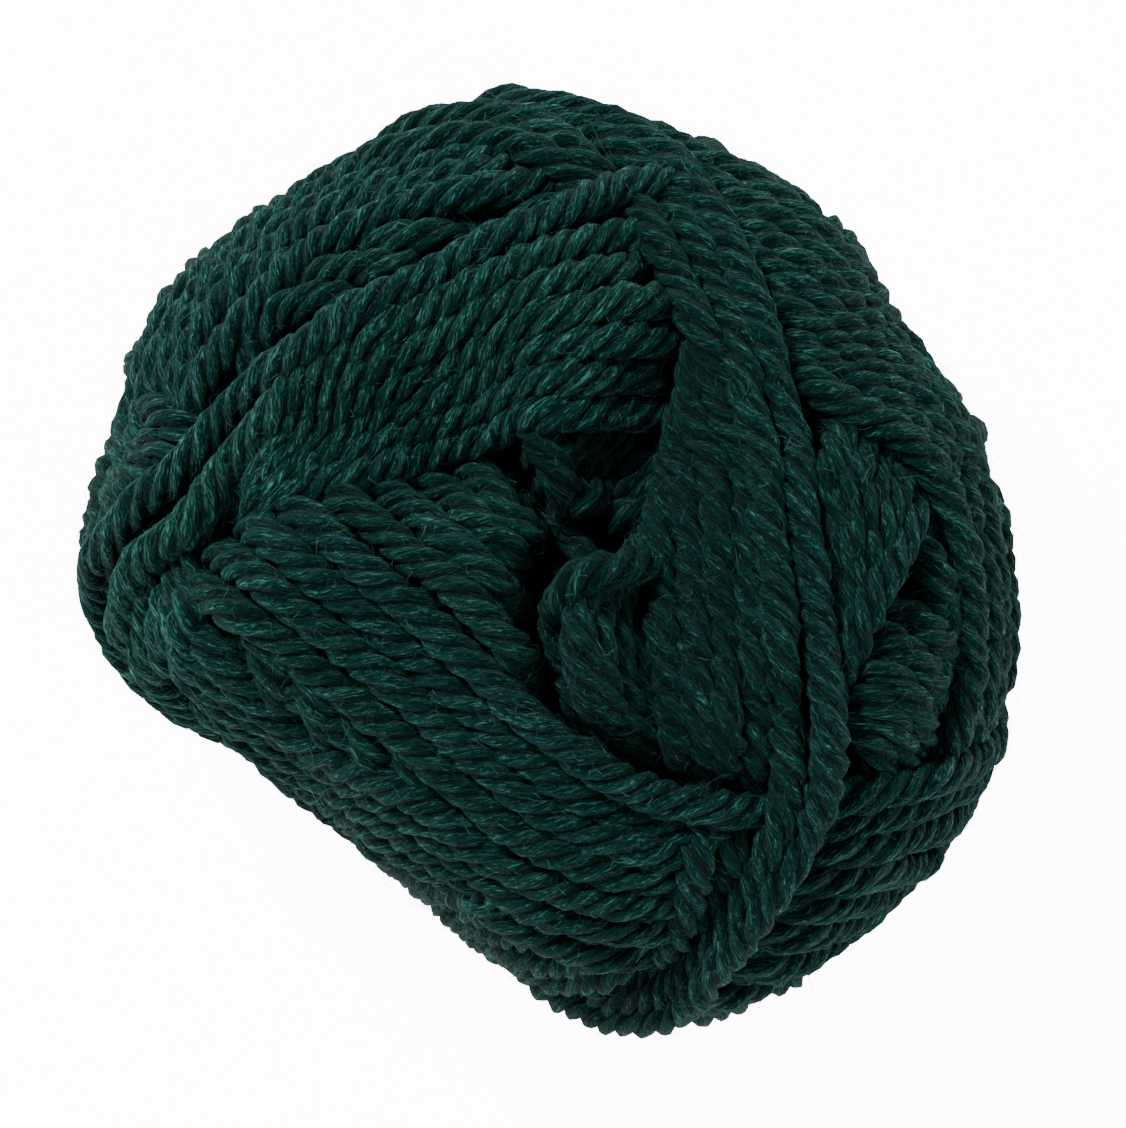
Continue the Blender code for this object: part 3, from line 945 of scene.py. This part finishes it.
def make_core(skin, painted_well_shade):
    """The turns below those that are laid, with the hollow down the middle, coloured as painted shade: dark, and
    darkest in and round the hollow.
    """
    columns = 96
    az = np.arange(columns) * 2 * math.pi / columns
    rings = []
    for lat in np.linspace(-88, 74, 54):
        a = math.radians(lat)
        n = np.stack([np.cos(a) * np.cos(az), np.cos(a) * np.sin(az), np.full(columns, math.sin(a))], axis=1)
        rings.append(form_point(n, 6.0 + 2.4 * min(1.0, max(0.0, (lat - 30) / 20)) + 5 * max(0.0, (lat - 60) / 14)))
    centre = np.array([AXIS[0] - 0.6, AXIS[1] - 0.4])
    for z, r in ((59.5, 10.0), (56, 8.6), (50, 7.6), (42, 7.0), (33, 6.7), (25, 6.5), (24.2, 5.5), (24, 3.0)):
        rings.append(np.stack([centre[0] + r * np.cos(az), centre[1] + r * np.sin(az),
                               np.full(columns, float(z))], axis=1))
    rings[0][:, 2] = np.maximum(rings[0][:, 2], 1.0)
    points = np.concatenate(rings) * MM
    faces = []
    for r in range(len(rings) - 1):
        for c in range(columns):
            d = (c + 1) % columns
            faces.append((r * columns + c, r * columns + d, (r + 1) * columns + d, (r + 1) * columns + c))
    faces.append(tuple(reversed(range(columns))))
    faces.append(tuple((len(rings) - 1) * columns + c for c in range(columns)))
    mesh = bpy.data.meshes.new("yarn_core")
    mesh.from_pydata(points.tolist(), [], faces)
    mesh.shade_smooth()
    mesh.materials.append(skin)
    mesh.materials.append(painted_well_shade)
    place = np.arange(len(faces)) // columns
    # painted shade: the top of the core round the hollow, and the hollow itself, take the darker material
    mesh.polygons.foreach_set("material_index", (place >= 47).astype(np.int32))
    mesh.polygons[len(faces) - 2].material_index = 0
    obj = bpy.data.objects.new("yarn_core", mesh)
    bpy.context.scene.collection.objects.link(obj)
    return obj


# painted shade: a dark yarn colour for the deep turns, scaled by the second argument, lower for the hollow
def core_material(name, light):
    mat = bpy.data.materials.new(name)
    mat.use_nodes = True
    tree = mat.node_tree
    shader = tree.nodes["Principled BSDF"]
    coord = node(tree, "ShaderNodeTexCoord")
    noise = node(tree, "ShaderNodeTexNoise")
    noise.inputs["Scale"].default_value = 400.0
    noise.inputs["Detail"].default_value = 4.0
    tree.links.new(coord.outputs["Object"], noise.inputs["Vector"])
    ramp = node(tree, "ShaderNodeMixRGB")
    ramp.inputs["Color1"].default_value = (0.0003 * light, 0.0030 * light, 0.0028 * light, 1)
    ramp.inputs["Color2"].default_value = (0.0012 * light, 0.0120 * light, 0.0105 * light, 1)
    tree.links.new(noise.outputs["Fac"], ramp.inputs["Fac"])
    tree.links.new(ramp.outputs["Color"], shader.inputs["Base Color"])
    shader.inputs["Roughness"].default_value = 0.95
    return mat


def area_light(name, place, target, size, power, colour=(1, 1, 1)):
    data = bpy.data.lights.new(name, "AREA")
    data.shape = "DISK"
    data.size = size
    data.energy = power
    data.color = colour
    obj = bpy.data.objects.new(name, data)
    obj.location = place
    obj.rotation_euler = (Vector(target) - Vector(place)).to_track_quat("-Z", "Y").to_euler()
    bpy.context.scene.collection.objects.link(obj)
    return obj


def make_stage():
    mesh = bpy.data.meshes.new("floor")
    s = 3.0
    mesh.from_pydata([(-s, -s, 0), (s, -s, 0), (s, s, 0), (-s, s, 0)], [], [(0, 1, 2, 3)])
    mat = bpy.data.materials.new("floor_white")
    mat.use_nodes = True
    shader = mat.node_tree.nodes["Principled BSDF"]
    shader.inputs["Base Color"].default_value = (0.92, 0.92, 0.92, 1)
    shader.inputs["Roughness"].default_value = 0.9
    shader.inputs["Emission Color"].default_value = (1, 1, 1, 1)
    shader.inputs["Emission Strength"].default_value = 13.0
    mesh.materials.append(mat)
    floor = bpy.data.objects.new("floor", mesh)
    bpy.context.scene.collection.objects.link(floor)
    floor.visible_diffuse = False
    floor.visible_glossy = False
    world = bpy.data.worlds.new("studio")
    bpy.context.scene.world = world
    world.use_nodes = True
    tree = world.node_tree
    back = tree.nodes["Background"]
    back.inputs["Color"].default_value = (1, 1, 1, 1)
    # a white surround, brighter at the level of the floor than overhead
    way = node(tree, "ShaderNodeSeparateXYZ")
    link(tree, node(tree, "ShaderNodeTexCoord").outputs["Generated"], way.inputs[0])
    rise = node(tree, "ShaderNodeMapRange")
    link(tree, way.outputs[2], rise.inputs["Value"])
    for name, value in (("From Min", 0.0), ("From Max", 0.5), ("To Min", 2.5), ("To Max", 0.13)):
        rise.inputs[name].default_value = value
    link(tree, rise.outputs[0], back.inputs["Strength"])
    area_light("key", (-0.50, 0.50, 0.88), (0, 0, 0.04), 0.24, 12.4)
    area_light("fill", (0.5, -0.45, 0.9), (0, 0, 0.04), 0.4, 1.8)


def make_camera():
    data = bpy.data.cameras.new("camera")
    data.lens = CAM_LENS
    data.sensor_width = 36.0
    data.clip_start = 0.01
    data.clip_end = 20.0
    cam = bpy.data.objects.new("camera", data)
    right, up, back = camera_axes()
    rotation = Matrix((right, up, back)).transposed().to_4x4()
    rotation.translation = Vector((CAM_TARGET + CAM_DISTANCE * back) * MM)
    cam.matrix_world = rotation
    bpy.context.scene.collection.objects.link(cam)
    bpy.context.scene.camera = cam


PIECES = 8

make_camera()
make_stage()
ball = wind()
pieces = [Strands() for _ in range(PIECES)]
lengths = []
for k, (centre, outward, start, tone, index, closed) in enumerate(yarn_lengths(ball)):
    pieces[k % PIECES].add(centre, outward, start, tone, index, closed)
    lengths.append((centre, outward, np.gradient(centre, axis=0)))
yarn = yarn_material("yarn")
objects = []
for k, piece in enumerate(pieces):
    objects.append(piece.build(f"yarn_{k}", yarn))
fuzz = fuzz_material("yarn_fuzz")
for k in range(3):
    objects.append(Fuzz(11300).build(f"yarn_fuzz_{k}", fuzz, lengths))
# painted shade: the deep turns at 3.0 and the hollow at 0.8 of the same dark colour
core = make_core(core_material("yarn_deep", 3.0), core_material("yarn_well_painted_shade", 0.8))
objects.append(core)
for obj in objects:
    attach(obj, "root")
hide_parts("yarn_ball")
